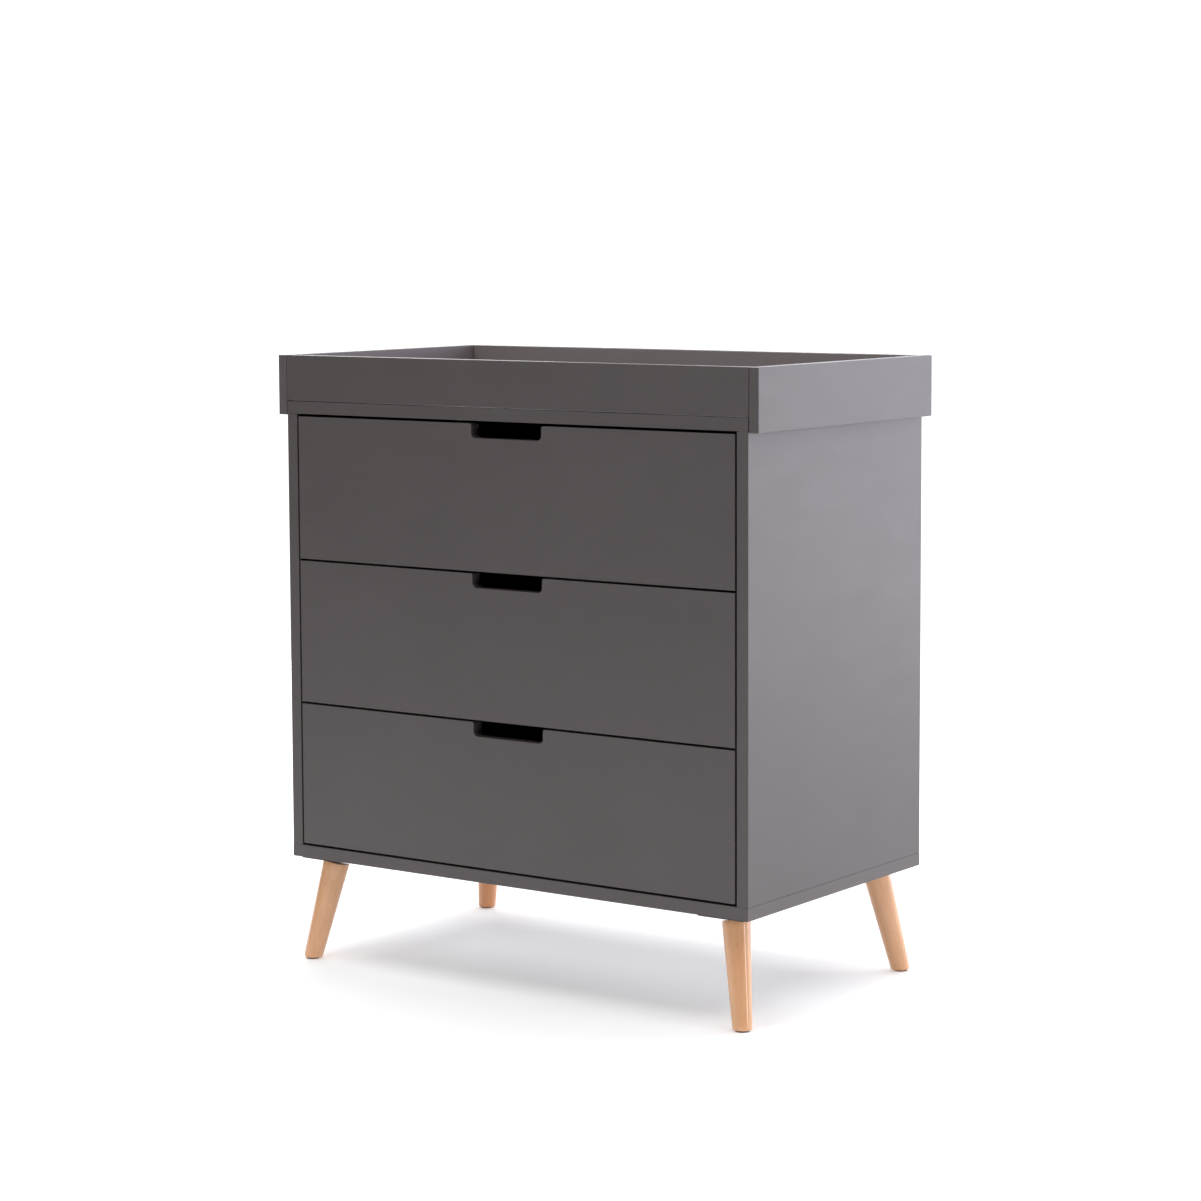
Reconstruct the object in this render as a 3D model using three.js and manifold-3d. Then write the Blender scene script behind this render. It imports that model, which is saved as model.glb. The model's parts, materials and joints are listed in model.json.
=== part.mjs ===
// A changing table: a chest with three drawers on ball-bearing runners, four splayed turned legs,
// and a changing tray that sits over the chest and lifts off.
// Millimetres. X runs left to right seen from the front, Y to the back and Z up. The origin is on
// the floor, under the middle of the chest.
import * as THREE from 'three';
import { mergeVertices } from 'three/addons/utils/BufferGeometryUtils.js';
import Module from 'manifold-3d';

// Chest
const WIDTH = 800;
const DEPTH = 460;
const CHEST_HEIGHT = 674;       // underside of the bottom panel to the top of the top panel
const LEG_HEIGHT = 155;         // floor to the underside of the bottom panel
const BOARD = 18;               // chest panels and drawer fronts
const CLEARANCE = 0.3;          // round every tongue in its groove and pin in its hole
const BACK_BOARD = 3;           // hardboard back, held in grooves
const BACK_INSET = 11;          // rear edge of the chest to the hardboard
const BACK_TONGUE = 6;          // how far the hardboard runs into each panel

// Drawers
const LEVELS = ['bottom', 'middle', 'top'];
const SIDE_GAP = 3;             // round the drawer fronts
const BOTTOM_GAP = 3.5;
const BETWEEN_GAP = 3.3;
const TOP_GAP = 4;
const SLOT_WIDTH = 122;         // finger slot in the top edge of each front
const SLOT_DEPTH = 20.5;
const SLOT_CORNER = 7.5;        // radius at the bottom corners of the slot
const SLOT_LIP = 2.5;           // radius where the slot meets the top edge
const BOX_LENGTH = 400;         // drawer box behind the front
const BOX_HEIGHT = 150;
const BOX_RAISE = 22;           // lower edge of the front to the lower edge of the box
const BOX_BOARD = 12;
const BASE_BOARD = 4;           // hardboard drawer bottom, held in grooves
const BASE_RAISE = 10;          // lower edge of the box to the underside of the drawer bottom
const BASE_TONGUE = 6;

// Telescopic runners: a channel on the chest, a channel that runs between, a channel on the drawer
const RUNNER_SPACE = 12.5;      // chest side to drawer side
const RUNNER_SHEET = 1.25;
const RUNNER_RAISE = 60;        // lower edge of the box to the middle of the runner
const RUNNER_SETBACK = 3;       // back of the drawer front to the end of the runner
const RUNNER_MEMBERS = [
  // half: half of the channel's height; back and lip: how far from the chest side it starts and ends
  { name: 'outer', half: 22.5, back: 0, lip: 9.5, length: 390 },
  { name: 'middle', half: 18.25, back: 2.5, lip: 9.5, length: 382 },
  { name: 'inner', half: 14, back: RUNNER_SPACE, lip: 5, length: 390 },
];

// Changing tray
const TRAY_BOARD = 15;
const TRAY_HEIGHT = 67;         // above the top panel
const TRAY_SKIRT = 20;          // how far the end boards hang down over the chest
const TRAY_SIDE_GAP = 1;        // end board to the side of the chest
const TRAY_SEAM = 1;            // between the front and back boards and the top panel
const BUTT_SEAM = 0.4;          // between the front and back boards and the end boards
const FIXING = {                // flat plates behind the tray, over the joint with the top panel
  x: 260, width: 30, height: 50, sheet: 1.5, corner: 4, drop: 15.5, hole: 2.25,
  columns: [-8, 8], rows: [-18.5, 6, 18],
};

// Legs: the axis runs from a point in the plane of the underside to a point on the floor
const LEG_TOP = { x: 351.5, y: 185 };
const LEG_FOOT = { x: 380, y: 212.5 };
const LEG_TOP_RADIUS = 20.2;
const LEG_FOOT_RADIUS = 13.6;
const LEG_START = 11;           // along the axis, from the underside to the top of the leg
const LEG_OVERRUN = 3;          // along the axis, past the floor, before the foot is cut level
const FOOT_ROUND = { height: 10, inset: 3.4 };
const GLIDE = { radius: 10, height: 2 };
const BOLT_RADIUS = 4;
const BOLT_START = 3;           // along the axis, from the underside to the top of the bolt
const BOLT_END = 38;
const BREAK = 1;                // chamfer at the top of the leg and at both ends of the bolt
const PLATE = { size: 80, corner: 8, sheet: 2.5, screws: 30, hole: 2.75 };
const BOSS = { radius: 9, sheet: 2 };

const CHEST_TOP = LEG_HEIGHT + CHEST_HEIGHT;
const BACK_FACE = DEPTH / 2;
const FRONT_HEIGHT =
  (CHEST_HEIGHT - 2 * BOARD - BOTTOM_GAP - 2 * BETWEEN_GAP - TOP_GAP) / LEVELS.length;

const wasm = await Module();
wasm.setup();

const finish = (color, roughness, metalness = 0) =>
  new THREE.MeshStandardMaterial({ color, roughness, metalness });
const slatePaint = finish('#5c5857', 0.45);
const drawerFoil = finish('#4d4a49', 0.6);
const darkHardboard = finish('#454241', 0.8);
const beech = finish('#d9a878', 0.5);
const zincSteel = finish('#a9abad', 0.35, 1);
const blackSteel = finish('#2b2a2a', 0.5, 1);
const brownPlastic = finish('#3a2c22', 0.6);

const model = new THREE.Group();

function add(name, geometry, material) {
  const mesh = new THREE.Mesh(geometry, material);
  mesh.name = name;
  model.add(mesh);
  return mesh;
}

// A block between two limits on each axis.
function block([x0, x1], [y0, y1], [z0, z1]) {
  const box = new THREE.BoxGeometry(x1 - x0, y1 - y0, z1 - z0);
  return box.translate((x0 + x1) / 2, (y0 + y1) / 2, (z0 + z1) / 2);
}

// Limits mirrored to the left for side -1, kept for side 1.
const sided = (side, a, b) => (side < 0 ? [-b, -a] : [a, b]);

// The same limits, moved apart by a margin.
const wider = ([a, b], margin) => [a - margin, b + margin];

function solid(geometry) {
  const bare = geometry.index ? geometry.toNonIndexed() : geometry.clone();
  bare.deleteAttribute('normal');
  bare.deleteAttribute('uv');
  const merged = mergeVertices(bare, 1e-4);
  return new wasm.Manifold(new wasm.Mesh({
    numProp: 3,
    vertProperties: merged.attributes.position.array,
    triVerts: new Uint32Array(merged.index.array),
  }));
}

function surface(manifold) {
  const { vertProperties, triVerts } = manifold.getMesh();
  const geometry = new THREE.BufferGeometry();
  geometry.setAttribute('position', new THREE.BufferAttribute(vertProperties, 3));
  geometry.setIndex(new THREE.BufferAttribute(triVerts, 1));
  geometry.computeVertexNormals();
  return geometry;
}

const cut = (geometry, ...tools) =>
  surface(tools.reduce((rest, tool) => rest.subtract(solid(tool)), solid(geometry)));

// A flat outline in X and Z, extruded along Y from its rear face at y1.
function plateAcrossY(shape, y0, y1, curveSegments = 6) {
  const extruded = new THREE.ExtrudeGeometry(shape, {
    depth: y1 - y0, bevelEnabled: false, curveSegments,
  });
  return extruded.rotateX(Math.PI / 2).translate(0, y1, 0);
}

function roundedRectangle(width, height, corner) {
  const [x, y] = [width / 2 - corner, height / 2 - corner];
  const shape = new THREE.Shape();
  shape.absarc(x, y, corner, 0, Math.PI / 2);
  shape.absarc(-x, y, corner, Math.PI / 2, Math.PI);
  shape.absarc(-x, -y, corner, Math.PI, 1.5 * Math.PI);
  shape.absarc(x, -y, corner, 1.5 * Math.PI, 2 * Math.PI);
  return shape;
}

function punch(shape, x, y, radius) {
  const hole = new THREE.Path();
  hole.absarc(x, y, radius, 0, 2 * Math.PI, true);
  shape.holes.push(hole);
}

// Chest: five panels, with the hardboard back let into grooves in the other four.
function addChest() {
  const inside = [-WIDTH / 2 + BOARD, WIDTH / 2 - BOARD];
  const between = [LEG_HEIGHT + BOARD, CHEST_TOP - BOARD];
  const depth = [-DEPTH / 2, DEPTH / 2];
  const back = [BACK_FACE - BACK_INSET - BACK_BOARD, BACK_FACE - BACK_INSET];
  const tongue = { x: wider(inside, BACK_TONGUE), z: wider(between, BACK_TONGUE) };
  const groove = block(
    wider(tongue.x, CLEARANCE), wider(back, CLEARANCE), wider(tongue.z, CLEARANCE));

  const panels = {
    bottom_panel: block([-WIDTH / 2, WIDTH / 2], depth, [LEG_HEIGHT, LEG_HEIGHT + BOARD]),
    left_side_panel: block([-WIDTH / 2, inside[0]], depth, between),
    right_side_panel: block([inside[1], WIDTH / 2], depth, between),
    top_panel: block([-WIDTH / 2, WIDTH / 2], depth, [CHEST_TOP - BOARD, CHEST_TOP]),
  };
  for (const [name, panel] of Object.entries(panels)) add(name, cut(panel, groove), slatePaint);
  add('back_panel', block(tongue.x, back, tongue.z), darkHardboard);
}

// A drawer front seen from the front, with the finger slot in its top edge.
function frontOutline(z0, z1) {
  const half = WIDTH / 2 - BOARD - SIDE_GAP;
  const slot = SLOT_WIDTH / 2;
  const floor = z1 - SLOT_DEPTH;
  const shape = new THREE.Shape();
  shape.moveTo(-half, z0);
  shape.lineTo(half, z0);
  shape.lineTo(half, z1);
  shape.absarc(slot + SLOT_LIP, z1 - SLOT_LIP, SLOT_LIP, Math.PI / 2, Math.PI);
  shape.absarc(slot - SLOT_CORNER, floor + SLOT_CORNER, SLOT_CORNER, 0, -Math.PI / 2, true);
  shape.absarc(-slot + SLOT_CORNER, floor + SLOT_CORNER, SLOT_CORNER, -Math.PI / 2, -Math.PI, true);
  shape.absarc(-slot - SLOT_LIP, z1 - SLOT_LIP, SLOT_LIP, 0, Math.PI / 2);
  shape.lineTo(-half, z1);
  return shape;
}

// Drawer: the front, two sides, a back that stands on the drawer bottom, and the bottom itself,
// whose edges run in grooves in the front and the sides.
function addDrawer(level, z0) {
  const frontBack = -DEPTH / 2 + BOARD;
  const boxBack = frontBack + BOX_LENGTH;
  const outer = WIDTH / 2 - BOARD - RUNNER_SPACE;
  const inner = outer - BOX_BOARD;
  const box = [z0 + BOX_RAISE, z0 + BOX_RAISE + BOX_HEIGHT];
  const base = [box[0] + BASE_RAISE, box[0] + BASE_RAISE + BASE_BOARD];
  const baseX = [-inner - BASE_TONGUE, inner + BASE_TONGUE];
  const baseY = [frontBack - BASE_TONGUE, boxBack];
  const groove = block(
    wider(baseX, CLEARANCE), wider(baseY, CLEARANCE), wider(base, CLEARANCE));

  const front = plateAcrossY(frontOutline(z0, z0 + FRONT_HEIGHT), -DEPTH / 2, frontBack);
  add(`${level}_drawer_front`, cut(front, groove), slatePaint);
  for (const [hand, side] of [['left', -1], ['right', 1]]) {
    const board = block(sided(side, inner, outer), [frontBack, boxBack], box);
    add(`${level}_drawer_${hand}_side`, cut(board, groove), drawerFoil);
  }
  add(`${level}_drawer_back`,
    block([-inner, inner], [boxBack - BOX_BOARD, boxBack], [base[1] + CLEARANCE, box[1]]),
    drawerFoil);
  add(`${level}_drawer_bottom`, block(baseX, baseY, base), darkHardboard);
}

// One channel of a runner: a web with a flange along its top and its bottom. The chest's channels
// open towards the drawer, and the drawer's opens towards the chest.
function channelOutline(side, z, { half, back, lip }) {
  const face = back + Math.sign(lip - back) * RUNNER_SHEET;
  const flange = half - RUNNER_SHEET;
  const corners = [
    [back, -half], [lip, -half], [lip, -flange], [face, -flange],
    [face, flange], [lip, flange], [lip, half], [back, half],
  ];
  const wall = WIDTH / 2 - BOARD;
  return new THREE.Shape(corners.map(([x, up]) => new THREE.Vector2(side * (wall - x), z + up)));
}

function addRunners(level, z0) {
  const start = -DEPTH / 2 + BOARD + RUNNER_SETBACK;
  const z = z0 + BOX_RAISE + RUNNER_RAISE;
  for (const [hand, side] of [['left', -1], ['right', 1]])
    for (const member of RUNNER_MEMBERS) {
      const channel = plateAcrossY(channelOutline(side, z, member), start, start + member.length);
      add(`${level}_${hand}_runner_${member.name}`, channel, zincSteel);
    }
}

// Tray: front and back boards over the edges of the chest, between two end boards that hang down
// past its sides. Two flat plates behind the back board hold it to the rear edge of the top panel.
function addTray() {
  const inner = WIDTH / 2 + TRAY_SIDE_GAP;
  const height = [CHEST_TOP + TRAY_SEAM, CHEST_TOP + TRAY_HEIGHT];
  const between = [-inner + BUTT_SEAM, inner - BUTT_SEAM];
  add('tray_front_board', block(between, [-BACK_FACE, -BACK_FACE + TRAY_BOARD], height), slatePaint);
  add('tray_back_board', block(between, [BACK_FACE - TRAY_BOARD, BACK_FACE], height), slatePaint);
  for (const [hand, side] of [['left', -1], ['right', 1]]) {
    add(`tray_${hand}_end_board`,
      block(sided(side, inner, inner + TRAY_BOARD), [-BACK_FACE, BACK_FACE],
        [CHEST_TOP - TRAY_SKIRT, CHEST_TOP + TRAY_HEIGHT]),
      slatePaint);
    const outline = roundedRectangle(FIXING.width, FIXING.height, FIXING.corner);
    for (const x of FIXING.columns)
      for (const z of FIXING.rows) punch(outline, x, z, FIXING.hole);
    const plate = plateAcrossY(outline, BACK_FACE, BACK_FACE + FIXING.sheet);
    plate.translate(side * FIXING.x, 0, CHEST_TOP - FIXING.drop + FIXING.height / 2);
    add(`tray_${hand}_fixing_plate`, plate, zincSteel);
  }
}

// Turns a lathed shape, made upright about Y, onto a leg's axis. Its y = 0 goes to the plane of the
// underside, and y falls along the axis towards the floor.
function ontoAxis(geometry, sx, sy) {
  const top = new THREE.Vector3(sx * LEG_TOP.x, sy * LEG_TOP.y, LEG_HEIGHT);
  const foot = new THREE.Vector3(sx * LEG_FOOT.x, sy * LEG_FOOT.y, 0);
  const up = top.clone().sub(foot).normalize();
  geometry.applyQuaternion(new THREE.Quaternion().setFromUnitVectors(new THREE.Vector3(0, 1, 0), up));
  return geometry.translate(top.x, top.y, top.z);
}

const lathe = (points, segments) =>
  new THREE.LatheGeometry(points.map(([r, y]) => new THREE.Vector2(r, y)), segments);

// A turned, tapered leg with a blind hole for its bolt. The foot end is rounded and then cut level.
function legGeometry(sx, sy) {
  const reach = Math.hypot(LEG_FOOT.x - LEG_TOP.x, LEG_FOOT.y - LEG_TOP.y, LEG_HEIGHT);
  const end = reach + LEG_OVERRUN;
  const hole = BOLT_RADIUS + CLEARANCE;
  const taper = (s) => LEG_TOP_RADIUS + (LEG_FOOT_RADIUS - LEG_TOP_RADIUS) * (s / reach);
  const profile = [[0, -end], [taper(end) - FOOT_ROUND.inset, -end]];
  const steps = 5;
  for (let i = 1; i <= steps; i++) {
    const angle = (Math.PI / 2) * (i / steps);
    const s = end - FOOT_ROUND.height * (1 - Math.cos(angle));
    profile.push([taper(s) - FOOT_ROUND.inset * (1 - Math.sin(angle)), -s]);
  }
  profile.push(
    [taper(LEG_START), -LEG_START - BREAK], [taper(LEG_START) - BREAK, -LEG_START],
    [hole, -LEG_START], [hole, -BOLT_END - CLEARANCE], [0, -BOLT_END - CLEARANCE]);
  const leg = ontoAxis(lathe(profile, 32), sx, sy);
  return cut(leg, levelBlock(sx, sy, LEG_FOOT, [-end, GLIDE.height + CLEARANCE]));
}

// A pressed steel plate screwed under the chest, with a hollow boss whose end is square to the leg.
function legPlateGeometry(sx, sy) {
  const outline = roundedRectangle(PLATE.size, PLATE.size, PLATE.corner);
  for (const x of [-PLATE.screws, PLATE.screws])
    for (const y of [-PLATE.screws, PLATE.screws]) punch(outline, x, y, PLATE.hole);
  const sheet = new THREE.ExtrudeGeometry(outline, {
    depth: PLATE.sheet, bevelEnabled: false, curveSegments: 5,
  });
  sheet.translate(sx * LEG_TOP.x, sy * LEG_TOP.y, LEG_HEIGHT - PLATE.sheet);

  const end = LEG_START - CLEARANCE;
  const bore = BOSS.radius - BOSS.sheet;
  const hole = BOLT_RADIUS + CLEARANCE;
  const boss = lathe([
    [hole, -end], [BOSS.radius, -end], [BOSS.radius, BOSS.radius], [bore, BOSS.radius],
    [bore, -end + BOSS.sheet], [hole, -end + BOSS.sheet], [hole, -end],
  ], 24);
  const hollow = lathe([
    [0, -end + BOSS.sheet], [bore, -end + BOSS.sheet], [bore, BOSS.radius], [0, BOSS.radius],
  ], 24);
  const above = levelBlock(sx, sy, LEG_TOP, [LEG_HEIGHT, CHEST_TOP]);
  const pressed = solid(sheet)
    .subtract(solid(ontoAxis(hollow, sx, sy)))
    .add(solid(ontoAxis(boss, sx, sy)).subtract(solid(above)));
  return surface(pressed);
}

// The stud that joins the boss to the leg, without its thread.
function boltGeometry(sx, sy) {
  const tip = BOLT_RADIUS - BREAK;
  const stud = lathe([
    [0, -BOLT_END], [tip, -BOLT_END], [BOLT_RADIUS, -BOLT_END + BREAK],
    [BOLT_RADIUS, -BOLT_START - BREAK], [tip, -BOLT_START], [0, -BOLT_START],
  ], 20);
  return ontoAxis(stud, sx, sy);
}

// A block round one leg, much wider than it, between two heights.
function levelBlock(sx, sy, foot, heights) {
  const reach = 40;
  return block(
    sided(sx, foot.x - reach, foot.x + reach), sided(sy, foot.y - reach, foot.y + reach), heights);
}

function addLegs() {
  for (const [row, sy] of [['front', -1], ['rear', 1]])
    for (const [hand, sx] of [['left', -1], ['right', 1]]) {
      const name = `${row}_${hand}`;
      const glide = new THREE.CylinderGeometry(GLIDE.radius, GLIDE.radius, GLIDE.height, 24);
      glide.rotateX(Math.PI / 2);
      glide.translate(sx * LEG_FOOT.x, sy * LEG_FOOT.y, GLIDE.height / 2);
      add(`${name}_leg`, legGeometry(sx, sy), beech);
      add(`${name}_leg_plate`, legPlateGeometry(sx, sy), blackSteel);
      add(`${name}_leg_bolt`, boltGeometry(sx, sy), zincSteel);
      add(`${name}_foot_glide`, glide, brownPlastic);
    }
}

addChest();
LEVELS.forEach((level, i) => {
  const z0 = LEG_HEIGHT + BOARD + BOTTOM_GAP + i * (FRONT_HEIGHT + BETWEEN_GAP);
  addDrawer(level, z0);
  addRunners(level, z0);
});
addTray();
addLegs();

export default model;
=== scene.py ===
"""Looks of the changing table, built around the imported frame. Metres, +Z up, the front towards -Y."""
import json
import math

import bmesh
import bpy
from mathutils import Matrix, Vector

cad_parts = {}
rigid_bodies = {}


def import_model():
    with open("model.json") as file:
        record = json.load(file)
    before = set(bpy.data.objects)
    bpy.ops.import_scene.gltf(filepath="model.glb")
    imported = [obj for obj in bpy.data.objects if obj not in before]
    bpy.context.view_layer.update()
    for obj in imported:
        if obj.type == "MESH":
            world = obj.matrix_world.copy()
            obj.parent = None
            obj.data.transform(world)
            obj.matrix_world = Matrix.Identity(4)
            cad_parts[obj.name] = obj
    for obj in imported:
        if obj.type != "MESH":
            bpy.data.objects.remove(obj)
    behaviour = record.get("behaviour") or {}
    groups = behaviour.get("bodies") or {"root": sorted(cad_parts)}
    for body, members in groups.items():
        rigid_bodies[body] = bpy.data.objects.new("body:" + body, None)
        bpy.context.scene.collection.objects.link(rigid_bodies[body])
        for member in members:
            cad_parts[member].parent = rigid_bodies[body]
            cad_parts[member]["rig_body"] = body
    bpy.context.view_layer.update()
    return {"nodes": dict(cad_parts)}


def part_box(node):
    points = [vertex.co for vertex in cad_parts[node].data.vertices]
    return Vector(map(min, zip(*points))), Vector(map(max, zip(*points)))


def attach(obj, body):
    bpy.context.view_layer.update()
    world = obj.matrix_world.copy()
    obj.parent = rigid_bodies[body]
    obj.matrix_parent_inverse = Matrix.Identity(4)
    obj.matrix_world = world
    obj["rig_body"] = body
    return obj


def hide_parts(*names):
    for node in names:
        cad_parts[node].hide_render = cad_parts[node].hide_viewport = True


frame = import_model()

MM = 0.001
LEVELS = ("bottom", "middle", "top")
HANDS = (("left", -1), ("right", 1))
LEGS = [f"{row}_{hand}" for row in ("front", "rear") for hand, side in HANDS]


# ---------------------------------------------------------------- camera

# The place is in metres, the angles in degrees, and the lens in millimetres for a sensor 36 mm wide
CAMERA = {
    "place": (2.6358, -3.7049, 1.0780),
    "yaw": 35.460,        # from straight at the front, round to the right-hand side
    "down": 5.670,
    "roll": 0.245,
    "lens": 94.2235,
    "shift": -0.05,
}


def add_camera():
    data = bpy.data.cameras.new("camera")
    data.sensor_width = 36
    data.lens = CAMERA["lens"]
    data.shift_y = CAMERA["shift"]
    camera = bpy.data.objects.new("camera", data)
    turn = Matrix.Rotation(math.radians(CAMERA["yaw"]), 4, "Z")
    tilt = Matrix.Rotation(math.radians(90 - CAMERA["down"]), 4, "X")
    roll = Matrix.Rotation(math.radians(-CAMERA["roll"]), 4, "Z")
    camera.matrix_world = Matrix.Translation(CAMERA["place"]) @ turn @ tilt @ roll
    bpy.context.scene.collection.objects.link(camera)
    bpy.context.scene.camera = camera


# ---------------------------------------------------------------- materials

class Graph:
    """A node material in the making. Each method adds one node and gives back its output socket."""

    def __init__(self, name, **shader):
        self.material = bpy.data.materials.new(name)
        self.material.use_nodes = True
        self.tree = self.material.node_tree
        self.shader = self.tree.nodes["Principled BSDF"]
        for socket, value in shader.items():
            self.feed(self.shader.inputs[socket.replace("_", " ")], value)

    def feed(self, socket, value):
        if isinstance(value, bpy.types.NodeSocket):
            self.tree.links.new(value, socket)
        elif hasattr(value, "__len__") and len(value) == 3 and socket.type == "RGBA":
            socket.default_value = (*value, 1)
        else:
            socket.default_value = value

    def add(self, kind, inputs, out=0, **settings):
        node = self.tree.nodes.new("ShaderNode" + kind)
        for setting, value in settings.items():
            setattr(node, setting, value)
        for socket, value in inputs.items():
            self.feed(node.inputs[socket], value)
        return node.outputs[out]

    def place(self, stretch=(1, 1, 1), attribute=None):
        """Where a point is in its piece, or what its attribute says, scaled by stretch on each axis."""
        if attribute:
            point = self.add("Attribute", {}, out="Vector", attribute_name=attribute)
        else:
            point = self.add("TexCoord", {}, out="Object")
        return self.add("Mapping", {"Vector": point, "Scale": stretch})

    def noise(self, place, scale, detail=2.0, roughness=0.5, distortion=0.0):
        return self.add("TexNoise", {
            "Vector": place, "Scale": scale, "Detail": detail,
            "Roughness": roughness, "Distortion": distortion})

    def cells(self, place, scale):
        return self.add("TexVoronoi", {"Vector": place, "Scale": scale})

    def calc(self, operation, a, b=0.0, c=0.0):
        return self.add("Math", {0: a, 1: b, 2: c}, operation=operation)

    def between(self, value, low, high, start=0.0, end=1.0):
        """value, stretched from start..end to low..high and held there."""
        return self.add("MapRange", {
            "Value": value, "From Min": start, "From Max": end, "To Min": low, "To Max": high})

    def mix(self, share, a, b, blend="MIX"):
        return self.add("Mix", {0: share, 6: a, 7: b}, out=2, data_type="RGBA", blend_type=blend)

    def bump(self, height, depth, strength=1.0, under=None):
        inputs = {"Height": height, "Distance": depth, "Strength": strength}
        if under is not None:
            inputs["Normal"] = under
        return self.add("Bump", inputs)

    def done(self, **sockets):
        for socket, value in sockets.items():
            self.feed(self.shader.inputs[socket.replace("_", " ")], value)
        return self.material


def scaled(colour, factor):
    return tuple(channel * factor for channel in colour)


GRAIN = "grain"         # the mesh attribute that says where a point of a leg lay in its board

SLATE = (0.0860, 0.0724, 0.0730)
# A paler, bluer copy of the same slate: a painted highlight on the tray's left end board, where that board
# catches more light
PAINTED_HIGHLIGHT_SLATE = (0.0990, 0.0845, 0.0920)


def slate_paint(name, colour=SLATE, gloss=0.0):
    """Sprayed satin lacquer: an even colour with faint clouds, and the orange peel of a spray gun."""
    g = Graph(name, IOR=1.525)
    place = g.place()
    clouds = g.noise(place, 7, detail=3)
    pigment = g.noise(place, 1900, detail=1)
    peel = g.noise(place, 330, detail=1.5)
    grit = g.noise(place, 2400, detail=2)
    tone = g.mix(g.between(clouds, 0, 1, 0.3, 0.7),
                 scaled(colour, 0.965), scaled(colour, 1.035))
    flecked = g.mix(g.between(pigment, 0, 0.10, 0.35, 0.75), tone, scaled(colour, 1.5))
    smears = g.noise(g.place((1, 1, 2.6)), 12, detail=4, roughness=0.6)
    roughness = g.between(smears, 0.39 - gloss, 0.43 - gloss, 0.3, 0.7)
    skin = g.bump(peel, 0.06 * MM, strength=0.35)
    return g.done(Base_Color=flecked, Roughness=roughness,
                  Normal=g.bump(grit, 0.012 * MM, strength=0.4, under=skin))


def drawer_foil():
    """Printed foil pressed with a fine straight grain, which runs along the drawer."""
    g = Graph("drawer_foil", IOR=1.45)
    pores = g.noise(g.place((1, 0.045, 1)), 900, detail=3, roughness=0.6)
    streaks = g.noise(g.place((1, 0.03, 1)), 160, detail=4, roughness=0.65, distortion=0.15)
    clouds = g.noise(g.place(), 14, detail=2)
    grain = g.mix(g.between(streaks, 0, 1, 0.3, 0.7), (0.050, 0.046, 0.0445), (0.088, 0.081, 0.078))
    colour = g.mix(g.between(clouds, 0, 0.35, 0.3, 0.7), grain, (0.066, 0.061, 0.059))
    colour = g.mix(g.between(pores, 0, 0.55, 0.60, 0.72), colour, (0.026, 0.024, 0.023))
    pressed = g.bump(g.between(pores, 1, 0, 0.55, 0.72), 0.05 * MM, strength=0.5)
    return g.done(Base_Color=colour, Roughness=g.between(streaks, 0.5, 0.62, 0.3, 0.7),
                  Normal=pressed)


def dark_hardboard():
    """Painted hardboard: pressed fibres that lie every way, with a fine felted surface."""
    g = Graph("dark_hardboard", IOR=1.42)
    warp = g.noise(g.place(), 60, detail=2)
    long_way = g.noise(g.place((1, 1, 0.16)), 520, detail=3, roughness=0.6, distortion=1.2)
    cross_way = g.noise(g.place((0.16, 0.5, 1)), 520, detail=3, roughness=0.6, distortion=1.2)
    felt = g.calc("MULTIPLY_ADD", long_way, 0.5, g.calc("MULTIPLY", cross_way, 0.5))
    clouds = g.mix(g.between(warp, 0, 1, 0.3, 0.7), (0.051, 0.046, 0.0445), (0.060, 0.055, 0.053))
    colour = g.mix(g.between(felt, 0, 0.4, 0.48, 0.62), clouds, (0.082, 0.075, 0.071))
    return g.done(Base_Color=colour, Roughness=g.between(felt, 0.62, 0.82, 0.4, 0.6),
                  Normal=g.bump(felt, 0.14 * MM, strength=0.6))


def beech(name, tone=(1, 1, 1)):
    """Lacquered beech, cut along its grain on Z, with the tree's heart off to a side."""
    g = Graph(name, IOR=1.48, Coat_Weight=0.9, Coat_Roughness=0.08, Coat_IOR=1.5)
    wander = g.noise(g.place((1, 1, 0.12), GRAIN), 26, detail=2)
    x, y, z = (g.add("SeparateXYZ", {"Vector": g.place((1, 1, 1), GRAIN)}, out=i) for i in range(3))
    across = g.calc("SQRT", g.calc("MULTIPLY_ADD", x, x, g.calc("MULTIPLY", y, y)))
    drift = g.calc("MULTIPLY_ADD", g.calc("SUBTRACT", wander, 0.5), 0.010, across)
    ring = g.calc("FRACT", g.calc("DIVIDE", g.calc("MULTIPLY_ADD", z, 0.02, drift), 3.4 * MM))
    late = g.between(g.calc("POWER", ring, 3.0), 0, 0.75)
    streaks = g.noise(g.place((1, 1, 0.03), GRAIN), 420, detail=4, roughness=0.62)
    clouds = g.noise(g.place((1, 1, 0.3), GRAIN), 34, detail=2)
    flecks = g.noise(g.place((1, 1, 0.13), GRAIN), 1150, detail=1)
    fibres = g.noise(g.place((1, 1, 0.02), GRAIN), 2600, detail=2)

    # tone scales all three colours; the rear-left leg uses it for painted shade
    pale, mid, brown = (tuple(a * b for a, b in zip(colour, tone)) for colour in (
        (0.81, 0.445, 0.237), (0.70, 0.337, 0.150), (0.47, 0.195, 0.074)))
    colour = g.mix(g.between(clouds, 0, 0.55, 0.35, 0.7), pale, mid)
    colour = g.mix(g.calc("MULTIPLY", late, 0.5), colour, mid)
    colour = g.mix(g.between(streaks, 0, 0.35, 0.46, 0.74), colour, scaled(mid, 0.9))
    colour = g.mix(g.between(flecks, 0, 0.34, 0.63, 0.72), colour, brown)
    texture = g.calc("MULTIPLY_ADD", flecks, -0.6, fibres)
    return g.done(Base_Color=colour, Roughness=g.between(streaks, 0.40, 0.55, 0.35, 0.7),
                  Normal=g.bump(texture, 0.035 * MM, strength=0.45))


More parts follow.
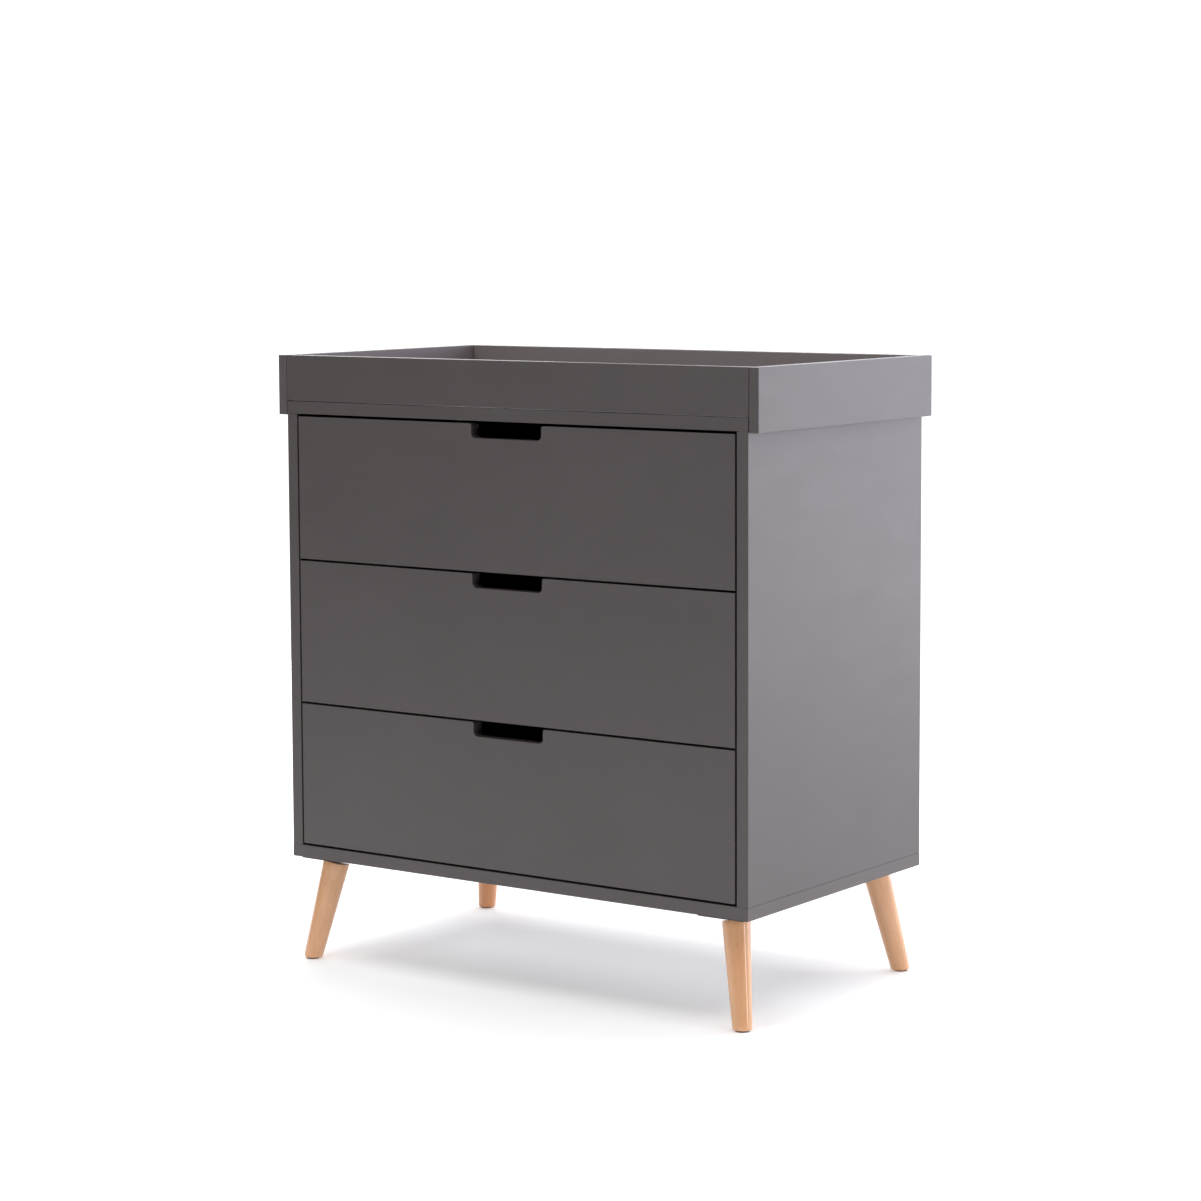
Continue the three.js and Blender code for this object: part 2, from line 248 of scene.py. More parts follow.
def zinc_steel(name="zinc_steel", grain=(1, 0.012, 1), roughness=0.30, shade=1.0):
    """Bright zinc plate with rolling marks along the sheet and a faint blue and straw bloom."""
    g = Graph(name, Metallic=1.0)
    marks = g.noise(g.place(grain), 2600, detail=3, roughness=0.6)
    bloom = g.noise(g.place(), 38, detail=2)
    spangle = g.cells(g.place(), 420)
    blue, straw, dull = (scaled(colour, shade) for colour in (
        (0.40, 0.42, 0.445), (0.46, 0.445, 0.41), (0.31, 0.315, 0.325)))
    tint = g.mix(g.between(bloom, 0, 1, 0.35, 0.65), blue, straw)
    colour = g.mix(g.between(marks, 0, 0.35, 0.4, 0.7), tint, dull)
    mottled = g.calc("MULTIPLY_ADD", spangle, 0.06, g.between(marks, -0.05, 0.10, 0.3, 0.7))
    return g.done(Base_Color=colour, Roughness=g.calc("ADD", mottled, roughness),
                  Normal=g.bump(marks, 0.012 * MM, strength=0.5))


def black_steel():
    """Black powder coat with its pebbled skin."""
    g = Graph("black_steel", IOR=1.5)
    pebbles = g.noise(g.place(), 1100, detail=1.5)
    dust = g.noise(g.place(), 90, detail=3)
    colour = g.mix(g.between(dust, 0, 0.5, 0.45, 0.8), (0.021, 0.0205, 0.0205), (0.046, 0.044, 0.043))
    return g.done(Base_Color=colour, Roughness=g.between(dust, 0.42, 0.60, 0.3, 0.7),
                  Normal=g.bump(pebbles, 0.08 * MM, strength=0.6))


def moulded_plastic(name, colour, roughness=0.5):
    """Spark-eroded mould finish: fine pits, and a faint flow pattern in the colour."""
    g = Graph(name, IOR=1.46)
    pits = g.noise(g.place(), 3400, detail=2)
    flow = g.noise(g.place((1, 1, 0.4)), 120, detail=3, distortion=0.6)
    tone = g.mix(g.between(flow, 0, 1, 0.3, 0.7), scaled(colour, 0.86), scaled(colour, 1.14))
    dull = g.between(flow, roughness - 0.06, roughness + 0.08, 0.3, 0.7)
    return g.done(Base_Color=tone, Roughness=dull, Normal=g.bump(pits, 0.03 * MM, strength=0.5))


FLOOR_GLOW = 0.26       # the floor is a light table, which keeps the shadow under the chest pale


def studio_floor():
    """Pale matt floor with a trace of unevenness, lit from inside."""
    g = Graph("studio_floor", IOR=1.3, Emission_Color=(1, 1, 1), Emission_Strength=FLOOR_GLOW)
    clouds = g.noise(g.place(), 0.7, detail=3)
    tooth = g.noise(g.place(), 260, detail=2)
    colour = g.mix(g.between(clouds, 0, 1, 0.3, 0.7), (0.885, 0.885, 0.885), (0.905, 0.905, 0.905))
    return g.done(Base_Color=colour, Roughness=g.between(tooth, 0.85, 0.95, 0.3, 0.7))


PAINT = slate_paint("slate_paint")
PAINTED_HIGHLIGHT_PAINT = slate_paint("painted_highlight_slate_paint", PAINTED_HIGHLIGHT_SLATE)
# The rounding gets a slate 12% lighter and a little glossier: partly the thinner paint on an arris, partly
# a painted highlight along the edges
THIN_PAINT_AND_HIGHLIGHT_EDGE = slate_paint("slate_thin_paint_and_highlight_edge", scaled(SLATE, 1.12), gloss=0.06)
FOIL = drawer_foil()
HARDBOARD = dark_hardboard()
BEECH = beech("beech")
# A darker, redder beech for the rear-left leg: painted shade for the shadow it stands in under the chest
PAINTED_SHADE_BEECH = beech("painted_shade_beech", tone=(0.82, 0.64, 0.46))
ZINC = zinc_steel()
HARDWARE = zinc_steel("zinc_hardware", grain=(1, 1, 1), roughness=0.26)
DULL_ZINC = zinc_steel("dull_zinc", grain=(1, 1, 0.012), roughness=0.36, shade=0.5)
BLACK_STEEL = black_steel()
BROWN_PLASTIC = moulded_plastic("brown_plastic", (0.042, 0.026, 0.016))
FLOOR = studio_floor()


# ---------------------------------------------------------------- mesh tools

def solid_from(outline, y0, y1):
    """A closed outline in X and Z, extruded along Y, as a bmesh."""
    made = bmesh.new()
    rings = [[made.verts.new((x, y, z)) for x, z in outline] for y in (y0, y1)]
    count = len(outline)
    for i in range(count):
        j = (i + 1) % count
        made.faces.new((rings[0][i], rings[0][j], rings[1][j], rings[1][i]))
    made.faces.new(reversed(rings[0]))
    made.faces.new(rings[1])
    bmesh.ops.recalc_face_normals(made, faces=made.faces)
    return made


def turned(profile, segments):
    """A profile of (radius, height) points from axis to axis, turned about Z, as a bmesh."""
    made = bmesh.new()
    rings = []
    for radius, height in profile:
        if radius < 1e-7:
            rings.append([made.verts.new((0, 0, height))])
            continue
        angles = (2 * math.pi * i / segments for i in range(segments))
        rings.append([made.verts.new((radius * math.cos(a), radius * math.sin(a), height))
                      for a in angles])
    for low, high in zip(rings, rings[1:]):
        for i in range(segments):
            j = (i + 1) % segments
            corners = [low[i % len(low)], low[j % len(low)], high[j % len(high)], high[i % len(high)]]
            made.faces.new(list(dict.fromkeys(corners)))
    bmesh.ops.recalc_face_normals(made, faces=made.faces)
    return made


def arc(centre, radius, start, end, steps):
    """Points on an arc, from one angle in degrees to another."""
    angles = (math.radians(start + (end - start) * i / steps) for i in range(steps + 1))
    return [(centre[0] + radius * math.cos(a), centre[1] + radius * math.sin(a)) for a in angles]


def sheet_outline(line, thickness):
    """The outline of a bent sheet whose middle follows the line."""
    sides = ([], [])
    for i, point in enumerate(line):
        before, after = line[max(i - 1, 0)], line[min(i + 1, len(line) - 1)]
        along = Vector((after[0] - before[0], after[1] - before[1])).normalized()
        for points, hand in zip(sides, (1, -1)):
            points.append((point[0] - along.y * hand * thickness / 2,
                           point[1] + along.x * hand * thickness / 2))
    return sides[0] + sides[1][::-1]


def mesh_from(made, name, crease=35):
    """A mesh from a bmesh, smooth up to the crease angle in degrees. The bmesh is used up."""
    mesh = bpy.data.meshes.new(name)
    made.to_mesh(mesh)
    made.free()
    mesh.polygons.foreach_set("use_smooth", [True] * len(mesh.polygons))
    mesh.set_sharp_from_angle(angle=math.radians(crease))
    return mesh


def cut_out(made, tools, name, crease=35):
    """The mesh of a bmesh with other bmeshes cut out of it. The bmeshes are used up."""
    target = bpy.data.objects.new(name, mesh_from(made, name, crease))
    bpy.context.scene.collection.objects.link(target)
    cutters = []
    for tool in tools:
        cutter = bpy.data.objects.new(name + "_cutter", mesh_from(tool, name + "_cutter"))
        bpy.context.scene.collection.objects.link(cutter)
        boolean = target.modifiers.new("cut", "BOOLEAN")
        boolean.object = cutter
        boolean.solver = "EXACT"
        cutters.append(cutter)
    bpy.context.view_layer.update()
    evaluated = target.evaluated_get(bpy.context.evaluated_depsgraph_get())
    mesh = bpy.data.meshes.new_from_object(evaluated)
    for spent in [target, *cutters]:
        bpy.data.objects.remove(spent)
    mesh.name = name
    mesh.polygons.foreach_set("use_smooth", [True] * len(mesh.polygons))
    mesh.set_sharp_from_angle(angle=math.radians(crease))
    return mesh


def piece(name, mesh, material, body, stands_for=(), at=None):
    """A shown piece of the object: its mesh, finish, place, body and the CAD nodes it replaces."""
    mesh.materials.clear()
    mesh.materials.append(material)
    made = bpy.data.objects.new(name, mesh)
    if at is not None:
        made.matrix_world = at
    bpy.context.scene.collection.objects.link(made)
    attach(made, body)
    if stands_for:
        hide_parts(*stands_for)
    return made


def repeated(template, places):
    """A bmesh that holds a copy of the template mesh at each place, given as matrices."""
    made = bmesh.new()
    for place in places:
        start = len(made.verts)
        made.from_mesh(template)
        made.verts.ensure_lookup_table()
        bmesh.ops.transform(made, matrix=place, verts=made.verts[start:])
    return made


def facing(direction, point, spin=0.0):
    """The place of a fastener whose head points in a direction, turned by spin degrees about it."""
    turn = Vector((0, 0, 1)).rotation_difference(Vector(direction)).to_matrix().to_4x4()
    return Matrix.Translation(point) @ turn @ Matrix.Rotation(math.radians(spin), 4, "Z")


def body_of(node):
    """The name of the body that a CAD node belongs to."""
    return frame["nodes"][node]["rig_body"]


# ---------------------------------------------------------------- boards

# Rounding along the edges of each kind of board
PANEL_ARRIS = 0.8 * MM
FRONT_ARRIS = 0.4 * MM
TOP_ARRIS = 0.15 * MM
TRAY_ARRIS = 0.9 * MM
FOIL_ARRIS = 0.6 * MM
HARDBOARD_ARRIS = 0.35 * MM
WELD_REACH = 0.01 * MM


def smooth_shading():
    """A node group that smooths the shading of whatever it is given."""
    tree = bpy.data.node_groups.new("smooth_shading", "GeometryNodeTree")
    tree.interface.new_socket("Geometry", in_out="INPUT", socket_type="NodeSocketGeometry")
    tree.interface.new_socket("Geometry", in_out="OUTPUT", socket_type="NodeSocketGeometry")
    start, smooth, end = (tree.nodes.new(kind) for kind in (
        "NodeGroupInput", "GeometryNodeSetShadeSmooth", "NodeGroupOutput"))
    tree.links.new(start.outputs[0], smooth.inputs["Geometry"])
    tree.links.new(smooth.outputs[0], end.inputs[0])
    return tree


SMOOTH_SHADING = smooth_shading()


def ease_edges(node, radius, materials, segments=3, limit=30):
    """Rounds a CAD node's edges that are sharper than the limit, in degrees, and sets its materials.

    The second material, if there is one, goes on the rounding.
    """
    board = frame["nodes"][node]
    board.data.materials.clear()
    for material in materials:
        board.data.materials.append(material)
    weld = board.modifiers.new("weld", "WELD")
    weld.merge_threshold = WELD_REACH
    flat = board.modifiers.new("flat faces", "DECIMATE")
    flat.decimate_type = "DISSOLVE"
    flat.angle_limit = math.radians(1)
    bevel = board.modifiers.new("arris", "BEVEL")
    bevel.width = radius
    bevel.segments = segments
    bevel.limit_method = "ANGLE"
    bevel.angle_limit = math.radians(limit)
    bevel.material = len(materials) - 1
    shade = board.modifiers.new("shade", "NODES")
    shade.node_group = SMOOTH_SHADING
    normals = board.modifiers.new("normals", "WEIGHTED_NORMAL")
    normals.mode = "FACE_AREA"
    return board


def finish_boards():
    # The paler slate on the left end board is a painted highlight, not a different paint
    tray = {"tray_back_board": PAINT, "tray_left_end_board": PAINTED_HIGHLIGHT_PAINT, "tray_right_end_board": PAINT}
    for node in ("bottom_panel", "left_side_panel", "right_side_panel"):
        ease_edges(node, PANEL_ARRIS, [PAINT])
    # The tray's rounded edges take the lighter edge slate: thinner paint there, and a painted highlight
    # along them
    for node, paint in tray.items():
        ease_edges(node, TRAY_ARRIS, [paint, THIN_PAINT_AND_HIGHLIGHT_EDGE])
    # These two meet in the dark line under the tray, so their edges stay nearly sharp
    ease_edges("tray_front_board", FRONT_ARRIS, [PAINT])
    ease_edges("top_panel", TOP_ARRIS, [PAINT], 1)
    for level in LEVELS:
        ease_edges(f"{level}_drawer_front", FRONT_ARRIS, [PAINT])
        for part in ("left_side", "right_side", "back"):
            ease_edges(f"{level}_drawer_{part}", FOIL_ARRIS, [FOIL], 2)
        ease_edges(f"{level}_drawer_bottom", HARDBOARD_ARRIS, [HARDBOARD], 1)
    ease_edges("back_panel", HARDBOARD_ARRIS, [HARDBOARD], 1)


# ---------------------------------------------------------------- fasteners

def cross_cutters(arm, width, depth, top):
    """Two crossed wedges that cut the recess of a screw head, to a depth below the height top."""
    cutters = []
    for turn in (0, 90):
        made = bmesh.new()
        bmesh.ops.create_cube(made, size=1)
        for vert in made.verts:
            narrow = 0.45 if vert.co.z < 0 else 1
            vert.co = Vector((2 * arm * narrow * vert.co.x, width * vert.co.y, top + 2 * depth * vert.co.z))
        bmesh.ops.rotate(made, matrix=Matrix.Rotation(math.radians(turn), 3, "Z"), verts=made.verts)
        cutters.append(made)
    return cutters


def pan_head(radius, height):
    """A pan-head screw: a crowned head with a cross recess, and the start of its shank below."""
    shank = 0.45 * radius
    crown = [(radius * math.cos(a), height * 0.35 + height * 0.65 * math.sin(a))
             for a in (math.radians(angle) for angle in range(0, 90, 15))]
    profile = [(0, -0.4 * height), (shank, -0.4 * height), (shank, 0.02 * MM), (radius, 0.02 * MM),
               *crown, (0, height)]
    recess = cross_cutters(0.58 * radius, 0.24 * radius, 0.55 * height, height)
    return cut_out(turned(profile, 28), recess, "pan_head")


def flat_head(radius):
    """A countersunk screw, level with the face it sits in apart from a hair's breadth."""
    proud, cone = 0.12 * MM, 0.75 * radius
    profile = [(0, -cone), (0.35 * radius, -cone), (radius, 0), (0.94 * radius, proud), (0, proud)]
    recess = cross_cutters(0.6 * radius, 0.24 * radius, 0.4 * radius, proud)
    return cut_out(turned(profile, 24), recess, "flat_head")


def cam_lock(radius):
    """The face of a cam lock: a rimmed disc with a deep cross recess and a notch in its rim."""
    proud = 0.25 * MM
    profile = [(0, -2 * MM), (radius, -2 * MM), (radius, proud * 0.4), (radius - 0.3 * MM, proud),
               (0.80 * radius, proud), (0.74 * radius, 0.05 * MM), (0.62 * radius, 0.05 * MM),
               (0.58 * radius, proud), (0, proud)]
    recess = cross_cutters(0.5 * radius, 0.16 * radius, 1.2 * MM, proud)
    notch = turned([(0, -1 * MM), (0.16 * radius, -1 * MM), (0.16 * radius, 1 * MM), (0, 1 * MM)], 12)
    bmesh.ops.translate(notch, vec=(0.9 * radius, 0, 0), verts=notch.verts)
    return cut_out(turned(profile, 36), [*recess, notch], "cam_lock")


def fasteners(name, template, places, body):
    """A group of identical fasteners in one piece."""
    mesh = mesh_from(repeated(template, places), name)
    return piece(name, mesh, HARDWARE, body)


LEG_PLATE_SHEET = 2.5 * MM
LEG_PLATE_SCREWS = 30 * MM          # from the middle of the plate, on X and on Y
FIXING_SCREWS_ACROSS = 8 * MM       # from the middle of the plate
FIXING_SCREWS_UP = (6 * MM, 18 * MM)


def add_plate_screws():
    """Four screws up through each leg plate, and four through each fixing plate into the tray."""
    plate_head, small_head = pan_head(4.1 * MM, 2.5 * MM), pan_head(3.9 * MM, 2.2 * MM)
    corners = [(x, y) for x in (-LEG_PLATE_SCREWS, LEG_PLATE_SCREWS)
               for y in (-LEG_PLATE_SCREWS, LEG_PLATE_SCREWS)]
    for index, name in enumerate(LEGS):
        low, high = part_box(f"{name}_leg_plate")
        x, y = (low.x + high.x) / 2, (low.y + high.y) / 2
        places = [facing((0, 0, -1), (x + dx, y + dy, high.z - LEG_PLATE_SHEET), 17 * index + 31 * k)
                  for k, (dx, dy) in enumerate(corners)]
        fasteners(f"{name}_leg_plate_screws", plate_head, places, "chest")
    for hand, side in HANDS:
        node = f"tray_{hand}_fixing_plate"
        low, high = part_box(node)
        x, z = (low.x + high.x) / 2, (low.z + high.z) / 2
        holes = [(x + dx, high.y, z + dz) for dx in (-FIXING_SCREWS_ACROSS, FIXING_SCREWS_ACROSS)
                 for dz in FIXING_SCREWS_UP]
        places = [facing((0, 1, 0), hole, 23 * k + 40 * side) for k, hole in enumerate(holes)]
        fasteners(f"{node}_screws", small_head, places, body_of(node))


CAM_LOCK_INSET = 34 * MM            # from the ends of a side panel
CAM_LOCK_ROWS = (-0.165, 0.155)     # where the chest's cam locks lie on Y


def add_case_fittings():
    """Cam locks inside the chest and on the drawer boxes, and the screws at the back of each drawer."""
    lock, screw = cam_lock(7.5 * MM), flat_head(3.4 * MM)
    small_lock = cam_lock(6 * MM)
    for hand, side in HANDS:
        low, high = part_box(f"{hand}_side_panel")
        face = high.x if side < 0 else low.x
        # Each notch points to the end of the panel that its lock pulls on
        ends = ((low.z + CAM_LOCK_INSET, 90 + 90 * side), (high.z - CAM_LOCK_INSET, 90 - 90 * side))
        places = [facing((-side, 0, 0), (face, y, z), spin) for y in CAM_LOCK_ROWS for z, spin in ends]
        fasteners(f"{hand}_side_panel_cam_locks", lock, places, "chest")
        for level in LEVELS:
            low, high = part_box(f"{level}_drawer_{hand}_side")
            face = low.x if side < 0 else high.x
            # These notches point to the drawer's front
            heights = (low.z + 27 * MM, high.z - 27 * MM)
            locks = [facing((side, 0, 0), (face, low.y + 24 * MM, z), -90) for z in heights]
            fasteners(f"{level}_drawer_{hand}_cam_locks", small_lock, locks, f"{level}_drawer")
            screws = [facing((side, 0, 0), (face, high.y - 6 * MM, z), 35 * k + 12)
                      for k, z in enumerate((low.z + 32 * MM, high.z - 22 * MM))]
            fasteners(f"{level}_drawer_{hand}_screws", screw, screws, f"{level}_drawer")


# ---------------------------------------------------------------- runners

SHEET = 1.25 * MM
BEND = 2.3 * MM         # outer radius where a runner's web turns into its flange
BALL = 1.42 * MM
RUNNER_SPACE = 12.5 * MM


def channel(back, lip, half):
    """The outline of a rolled channel. X is the distance from the chest side, and Z up."""
    way = 1 if lip > back else -1
    web, flange = back + way * SHEET / 2, half - SHEET / 2
    radius = BEND - SHEET / 2
    bend = [(web + way * radius - way * radius * math.cos(a), flange - radius + radius * math.sin(a))
            for a in (math.radians(15 * i) for i in range(7))]
    upper = bend + [(lip - way * 1.2 * MM, flange), (lip, flange - 0.35 * MM)]
    return sheet_outline([(x, -z) for x, z in reversed(upper)] + upper, SHEET)


def slot_cutter(y, length, width):
    """A prism along X with a long hole's outline, that goes right through a runner's web."""
    half = (length - width) / 2
    outline = arc((half, 0), width / 2, -90, 90, 8) + arc((-half, 0), width / 2, 90, 270, 8)
    made = solid_from(outline, -20 * MM, 20 * MM)
    bmesh.ops.rotate(made, matrix=Matrix.Rotation(math.radians(90), 3, "Z"), verts=made.verts)
    bmesh.ops.translate(made, vec=(0, y, 0), verts=made.verts)
    return made


# Distance of each hole from the front end of the member, its length and its width, in millimetres
RUNNER_HOLES = {
    "outer": [(35, 9, 4.6), (68, 6, 6), (128, 9, 4.6), (195, 14, 4.6),
              (259, 6, 6), (323, 9, 4.6), (360, 6, 6)],
    "middle": [(52, 26, 9), (330, 26, 9)],
    "inner": [(22, 6, 6), (35, 9, 4.6), (150, 9, 4.6), (214, 14, 4.6), (278, 9, 4.6), (355, 6, 6)],
}
RUNNER_SCREWS = {"outer": (35, 195, 323), "inner": (35, 150, 278)}


def runner_mesh(member):
    """One member of a runner, measured from the chest side and from its own front end."""
    low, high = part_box(f"top_right_runner_{member}")
    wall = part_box("right_side_panel")[0].x
    near, far = wall - high.x, wall - low.x
    back, lip = (far, near) if member == "inner" else (near, far)
    section = solid_from(channel(back, lip, (high.z - low.z) / 2), 0, high.y - low.y)
    holes = [slot_cutter(y * MM, length * MM, width * MM) for y, length, width in RUNNER_HOLES[member]]
    return cut_out(section, holes, f"runner_{member}")


CAGE_BALLS = 11
CAGE_PITCH = 7 * MM
CAGE_END = 4 * MM                   # from the last ball to the end of its cage
CAGE_HALF_WIDTH = 2 * MM
CAGE_HALF_SHEET = 0.3 * MM
# Height of each row of balls from the runner's middle, distance from the chest side, and its first
# ball's distance from the front
CAGE_ROWS = [(19.75 * MM, 6.2 * MM, 155 * MM), (15.5 * MM, 8.0 * MM, 12 * MM)]


def cage_meshes():
    """The two ball cages of a runner and their balls, as a mesh of strips and a mesh of balls."""
    strips, balls = bmesh.new(), bmesh.new()
    ball = bmesh.new()
    bmesh.ops.create_icosphere(ball, subdivisions=2, radius=BALL)
    template = mesh_from(ball, "ball", crease=80)
    for height, out, start in CAGE_ROWS:
        end = start + CAGE_PITCH * (CAGE_BALLS - 1)
        for level in (-height, height):
            places = [Matrix.Translation((out, start + CAGE_PITCH * i, level)) for i in range(CAGE_BALLS)]
            balls.from_mesh(mesh_from(repeated(template, places), "balls"))
            left, right = out - CAGE_HALF_WIDTH, out + CAGE_HALF_WIDTH
            under, over = level - CAGE_HALF_SHEET, level + CAGE_HALF_SHEET
            section = [(left, under), (right, under), (right, over), (left, over)]
            strips.from_mesh(mesh_from(solid_from(section, start - CAGE_END, end + CAGE_END), "strip"))
    return mesh_from(strips, "cages"), mesh_from(balls, "balls", crease=80)


def add_runners():
    members = {member: runner_mesh(member) for member in ("outer", "middle", "inner")}
    cages, balls = cage_meshes()
    head = pan_head(3.6 * MM, 1.7 * MM)
    for level in LEVELS:
        for hand, side in HANDS:
            name = f"{level}_{hand}_runner"
            low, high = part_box(f"{name}_outer")
            wall = low.x if side < 0 else high.x
            # The section is drawn for the left-hand side, and turned half round for the right
            at = Matrix.Translation((wall, low.y, (low.z + high.z) / 2))
            at = at @ Matrix.Rotation(math.radians(180 if side > 0 else 0), 4, "Y")
            for member, mesh in members.items():
                node = f"{name}_{member}"
                piece(f"{node}_channel", mesh.copy(), ZINC, body_of(node), [node], at)
            middles = body_of(f"{name}_middle")
            piece(f"{name}_cages", cages.copy(), HARDWARE, middles, at=at)
            piece(f"{name}_balls", balls.copy(), HARDWARE, middles, at=at)
            for member, faces in (("outer", SHEET), ("inner", RUNNER_SPACE - SHEET)):
                way = (1, 0, 0) if member == "outer" else (-1, 0, 0)
                places = [at @ facing(way, (faces, y * MM, 0), 40 * k)
                          for k, y in enumerate(RUNNER_SCREWS[member])]
                fasteners(f"{name}_{member}_screws", head, places, body_of(f"{name}_{member}"))


# ---------------------------------------------------------------- legs

LEG_TOP_RADIUS = 20.2 * MM
LEG_FOOT_RADIUS = 13.6 * MM
LEG_START = 11 * MM      # along the axis, from the underside of the chest to the top of the leg
LEG_SEGMENTS = 96
LEG_OVERLENGTH = 3 * MM  # below the floor, before the foot is cut level
FOOT_ROUNDING = (3.4 * MM, 10 * MM)     # how far in, and how far up
CROWN_ROUNDING = 1.2 * MM
STUD_HOLE = (4.3 * MM, 28 * MM)         # radius and depth
HEART = (0.031, 0.012)   # where the tree's heart lies from the leg's axis


def leg_axis(name):
    """Where a leg's axis meets the underside of the chest, and where it meets the floor."""
    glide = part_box(f"{name}_foot_glide")
    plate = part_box(f"{name}_leg_plate")
    foot = (glide[0] + glide[1]) / 2
    foot.z = 0
    top = (plate[0] + plate[1]) / 2
    # The plate's box reaches past its sheet only downwards, so its middle is on the axis there
    top.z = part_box("bottom_panel")[0].z
    return top, foot


def leg_profile(reach):
    """The leg's outline as (radius, height) points, with height 0 where its axis meets the floor."""
    def taper(height):
        return LEG_FOOT_RADIUS + (LEG_TOP_RADIUS - LEG_FOOT_RADIUS) * height / reach

    inset, height = FOOT_ROUNDING
    rounding = []
    for i in range(11):
        angle = math.radians(9 * i)
        level = -LEG_OVERLENGTH + height * (1 - math.cos(angle))
        rounding.append((taper(level) - inset * (1 - math.sin(angle)), level))
    top = reach - LEG_START
    steps = [(taper(h), h) for h in (top * k / 12 for k in range(1, 12)) if h > height]
    crown = [(taper(top) - CROWN_ROUNDING * (1 - math.cos(a)), top - CROWN_ROUNDING * (1 - math.sin(a)))
             for a in (math.radians(15 * i) for i in range(7))]
    bore, depth = STUD_HOLE
    hole = [(bore, top), (bore, top - depth), (0, top - depth)]
    return [(0, -LEG_OVERLENGTH), *rounding, *steps, *crown, *hole]


def add_legs():
    for index, name in enumerate(LEGS):
        top, foot = leg_axis(name)
        axis = top - foot
        upright = Vector((0, 0, 1)).rotation_difference(axis).to_matrix().to_4x4()
        at = Matrix.Translation(foot) @ upright
        made = turned(leg_profile(axis.length), LEG_SEGMENTS)
        floor_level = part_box(f"{name}_leg")[0].z
        local = at.inverted()
        level = local.to_3x3() @ Vector((0, 0, 1))
        edges = made.verts[:] + made.edges[:] + made.faces[:]
        bmesh.ops.bisect_plane(made, geom=edges, plane_co=local @ Vector((foot.x, foot.y, floor_level)),
                               plane_no=level, clear_inner=True)
        rim = [edge for edge in made.edges if edge.is_boundary]
        cap = bmesh.ops.contextual_create(made, geom=rim)["faces"]
        bmesh.ops.bevel(made, geom=[edge for face in cap for edge in face.edges], offset=0.7 * MM,
                        segments=3, affect="EDGES", profile=0.5)
        bmesh.ops.recalc_face_normals(made, faces=made.faces)
        mesh = mesh_from(made, f"{name}_leg_turning", crease=50)
        add_grain(mesh, index)
        mesh.transform(at)
        # The rear-left leg is darkened with painted shade, where it stands in the chest's shadow
        wood = PAINTED_SHADE_BEECH if name == "rear_left" else BEECH
        piece(f"{name}_leg_turning", mesh, wood, "chest", [f"{name}_leg"])


def add_grain(mesh, index):
    """Stores where each point of a leg lay in its board, which is a different place for each leg."""
    turn = Matrix.Rotation(math.radians(67 + 101 * index), 3, "Z")
    shift = Vector((HEART[0] + 0.006 * index, HEART[1], 0.37 * index))
    grain = mesh.attributes.new(GRAIN, "FLOAT_VECTOR", "POINT")
    places = [channel for vert in mesh.vertices for channel in turn @ vert.co + shift]
    grain.data.foreach_set("vector", places)


PLATE_ARRIS = 0.35 * MM
BOLT_ARRIS = 0.2 * MM
FIXING_ARRIS = 0.25 * MM
GLIDE_ROUNDING = 0.8 * MM


def add_leg_fittings():
    for name in LEGS:
        ease_edges(f"{name}_leg_plate", PLATE_ARRIS, [BLACK_STEEL], 2, limit=50)
        ease_edges(f"{name}_leg_bolt", BOLT_ARRIS, [HARDWARE], 1, limit=40)
        low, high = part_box(f"{name}_foot_glide")
        radius, height = (high.x - low.x) / 2, high.z - low.z
        rim = arc((radius - GLIDE_ROUNDING, GLIDE_ROUNDING), GLIDE_ROUNDING, -90, 0, 6)
        dimple = [(0, 0.5 * MM), (1.6 * MM, 0.5 * MM), (2.4 * MM, 0)]
        disc = turned([*dimple, *rim, (radius, height), (0, height)], 48)
        at = Matrix.Translation(((low.x + high.x) / 2, (low.y + high.y) / 2, 0))
        piece(f"{name}_glide_disc", mesh_from(disc, "glide"), BROWN_PLASTIC, "chest",
              [f"{name}_foot_glide"], at)


def finish_fixing_plates():
    for hand, side in HANDS:
        plate = ease_edges(f"tray_{hand}_fixing_plate", FIXING_ARRIS, [DULL_ZINC], 2, limit=50)


# ---------------------------------------------------------------- stage

BACKDROP = 1.3          # what the camera sees of the world behind the floor
ROOM_LIGHT = 0.02       # what the room round the set adds to the panels' light
FLOOR_RADIUS = 3.4
FLOOR_DROP = 0.1 * MM   # keeps the floor clear of the glides' undersides


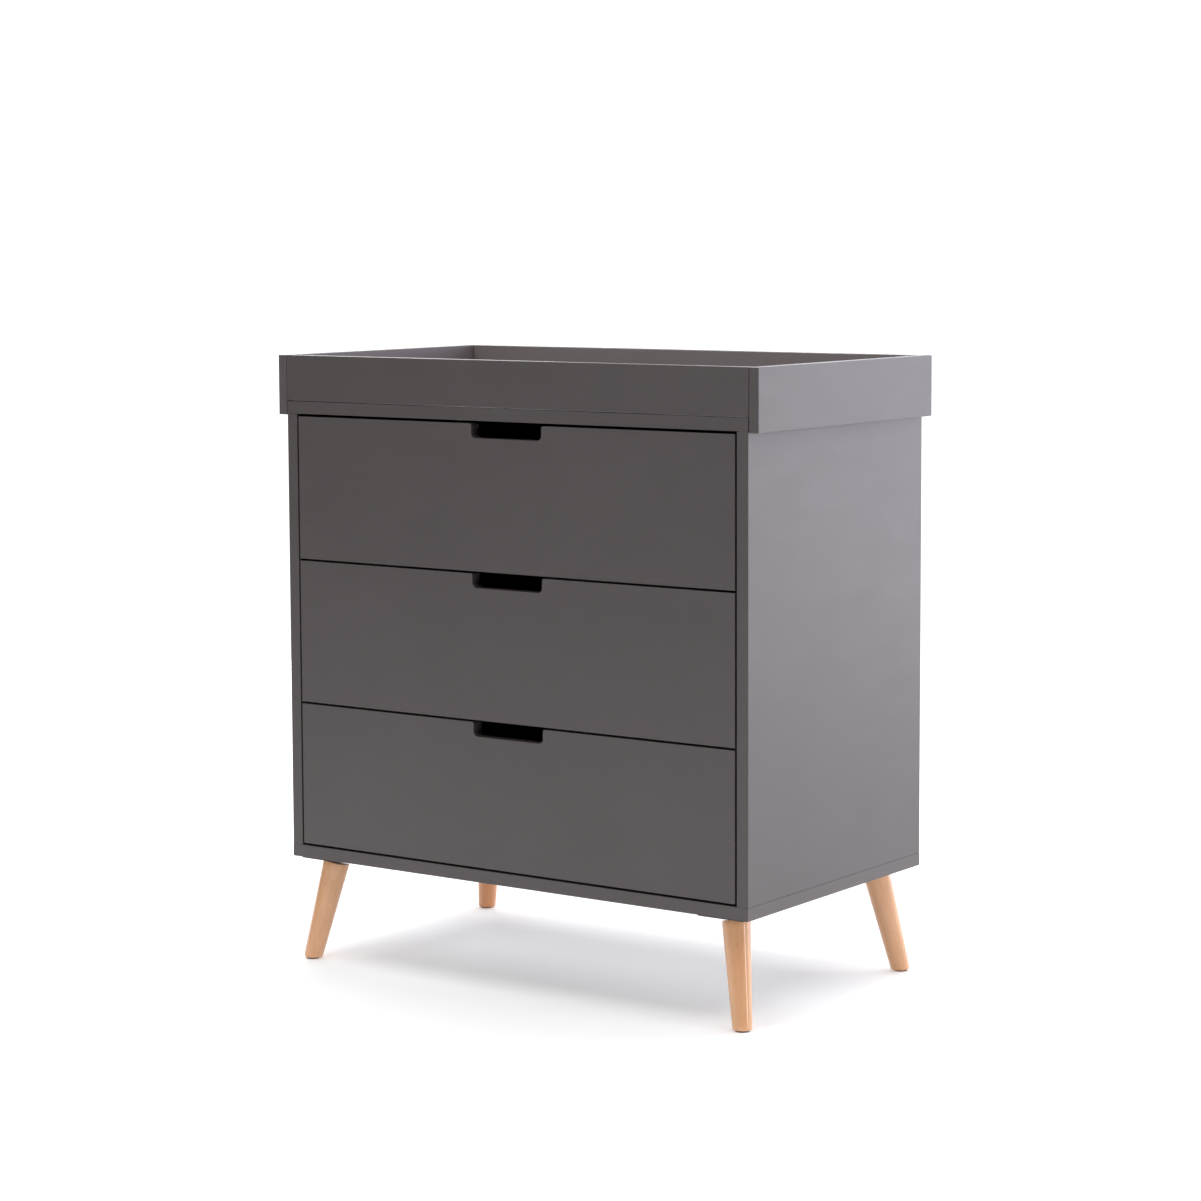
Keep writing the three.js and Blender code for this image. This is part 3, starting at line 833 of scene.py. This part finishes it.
def panel_light(name, place, target, size, radiance, tint=(1, 1, 1)):
    """A softbox that the camera doesn't see, with an even radiance over its face."""
    data = bpy.data.lights.new(name, "AREA")
    data.shape = "RECTANGLE"
    data.color = tint
    data.size, data.size_y = size
    data.energy = radiance * math.pi * size[0] * size[1]
    made = bpy.data.objects.new(name, data)
    made.location = place
    made.rotation_euler = (Vector(target) - Vector(place)).to_track_quat("-Z", "Y").to_euler()
    made.visible_camera = False
    bpy.context.scene.collection.objects.link(made)


def add_stage():
    scene = bpy.context.scene
    scene.view_settings.view_transform = "Standard"
    scene.world = bpy.data.worlds.new("studio")
    scene.world.use_nodes = True
    tree = scene.world.node_tree
    sky = tree.nodes["Background"]
    sky.inputs["Color"].default_value = (1, 1, 1, 1)
    path = tree.nodes.new("ShaderNodeLightPath")
    strength = tree.nodes.new("ShaderNodeMapRange")
    strength.inputs["To Min"].default_value = ROOM_LIGHT
    strength.inputs["To Max"].default_value = BACKDROP
    tree.links.new(path.outputs["Is Camera Ray"], strength.inputs["Value"])
    tree.links.new(strength.outputs["Result"], sky.inputs["Strength"])

    made = bmesh.new()
    bmesh.ops.create_circle(made, cap_ends=True, segments=128, radius=FLOOR_RADIUS)
    floor = bpy.data.objects.new("floor", mesh_from(made, "floor"))
    floor.data.materials.append(FLOOR)
    floor.location.z = -FLOOR_DROP
    scene.collection.objects.link(floor)

    panel_light("back_wall", (1.0, 4.5, 1.2), (0, 0, 1.2), (9.0, 3.9), 3.45, (0.97, 0.98, 1.09))
    panel_light("overhead", (0.2, 0.4, 3.6), (0.2, 0.4, 0), (6.0, 5.0), 2.15)
    panel_light("key", (-1.0, -4.9, 2.5), (0, 0, 0.5), (2.6, 2.0), 4.35)
    panel_light("right_strip", (4.3, 0.5, 1.05), (0.4, 0, 0.5), (0.5, 1.9), 10.5)
    panel_light("rear_left", (-3.6, 2.4, 1.2), (0, 0, 0.5), (3.0, 2.4), 3.5)
    panel_light("over_the_tray", (-0.05, -0.12, 1.22), (-0.05, 0.215, 0.86), (1.1, 0.2), 5.8)


add_camera()
finish_boards()
add_legs()
add_leg_fittings()
finish_fixing_plates()
add_plate_screws()
add_case_fittings()
add_runners()
add_stage()

bpy.context.view_layer.update()
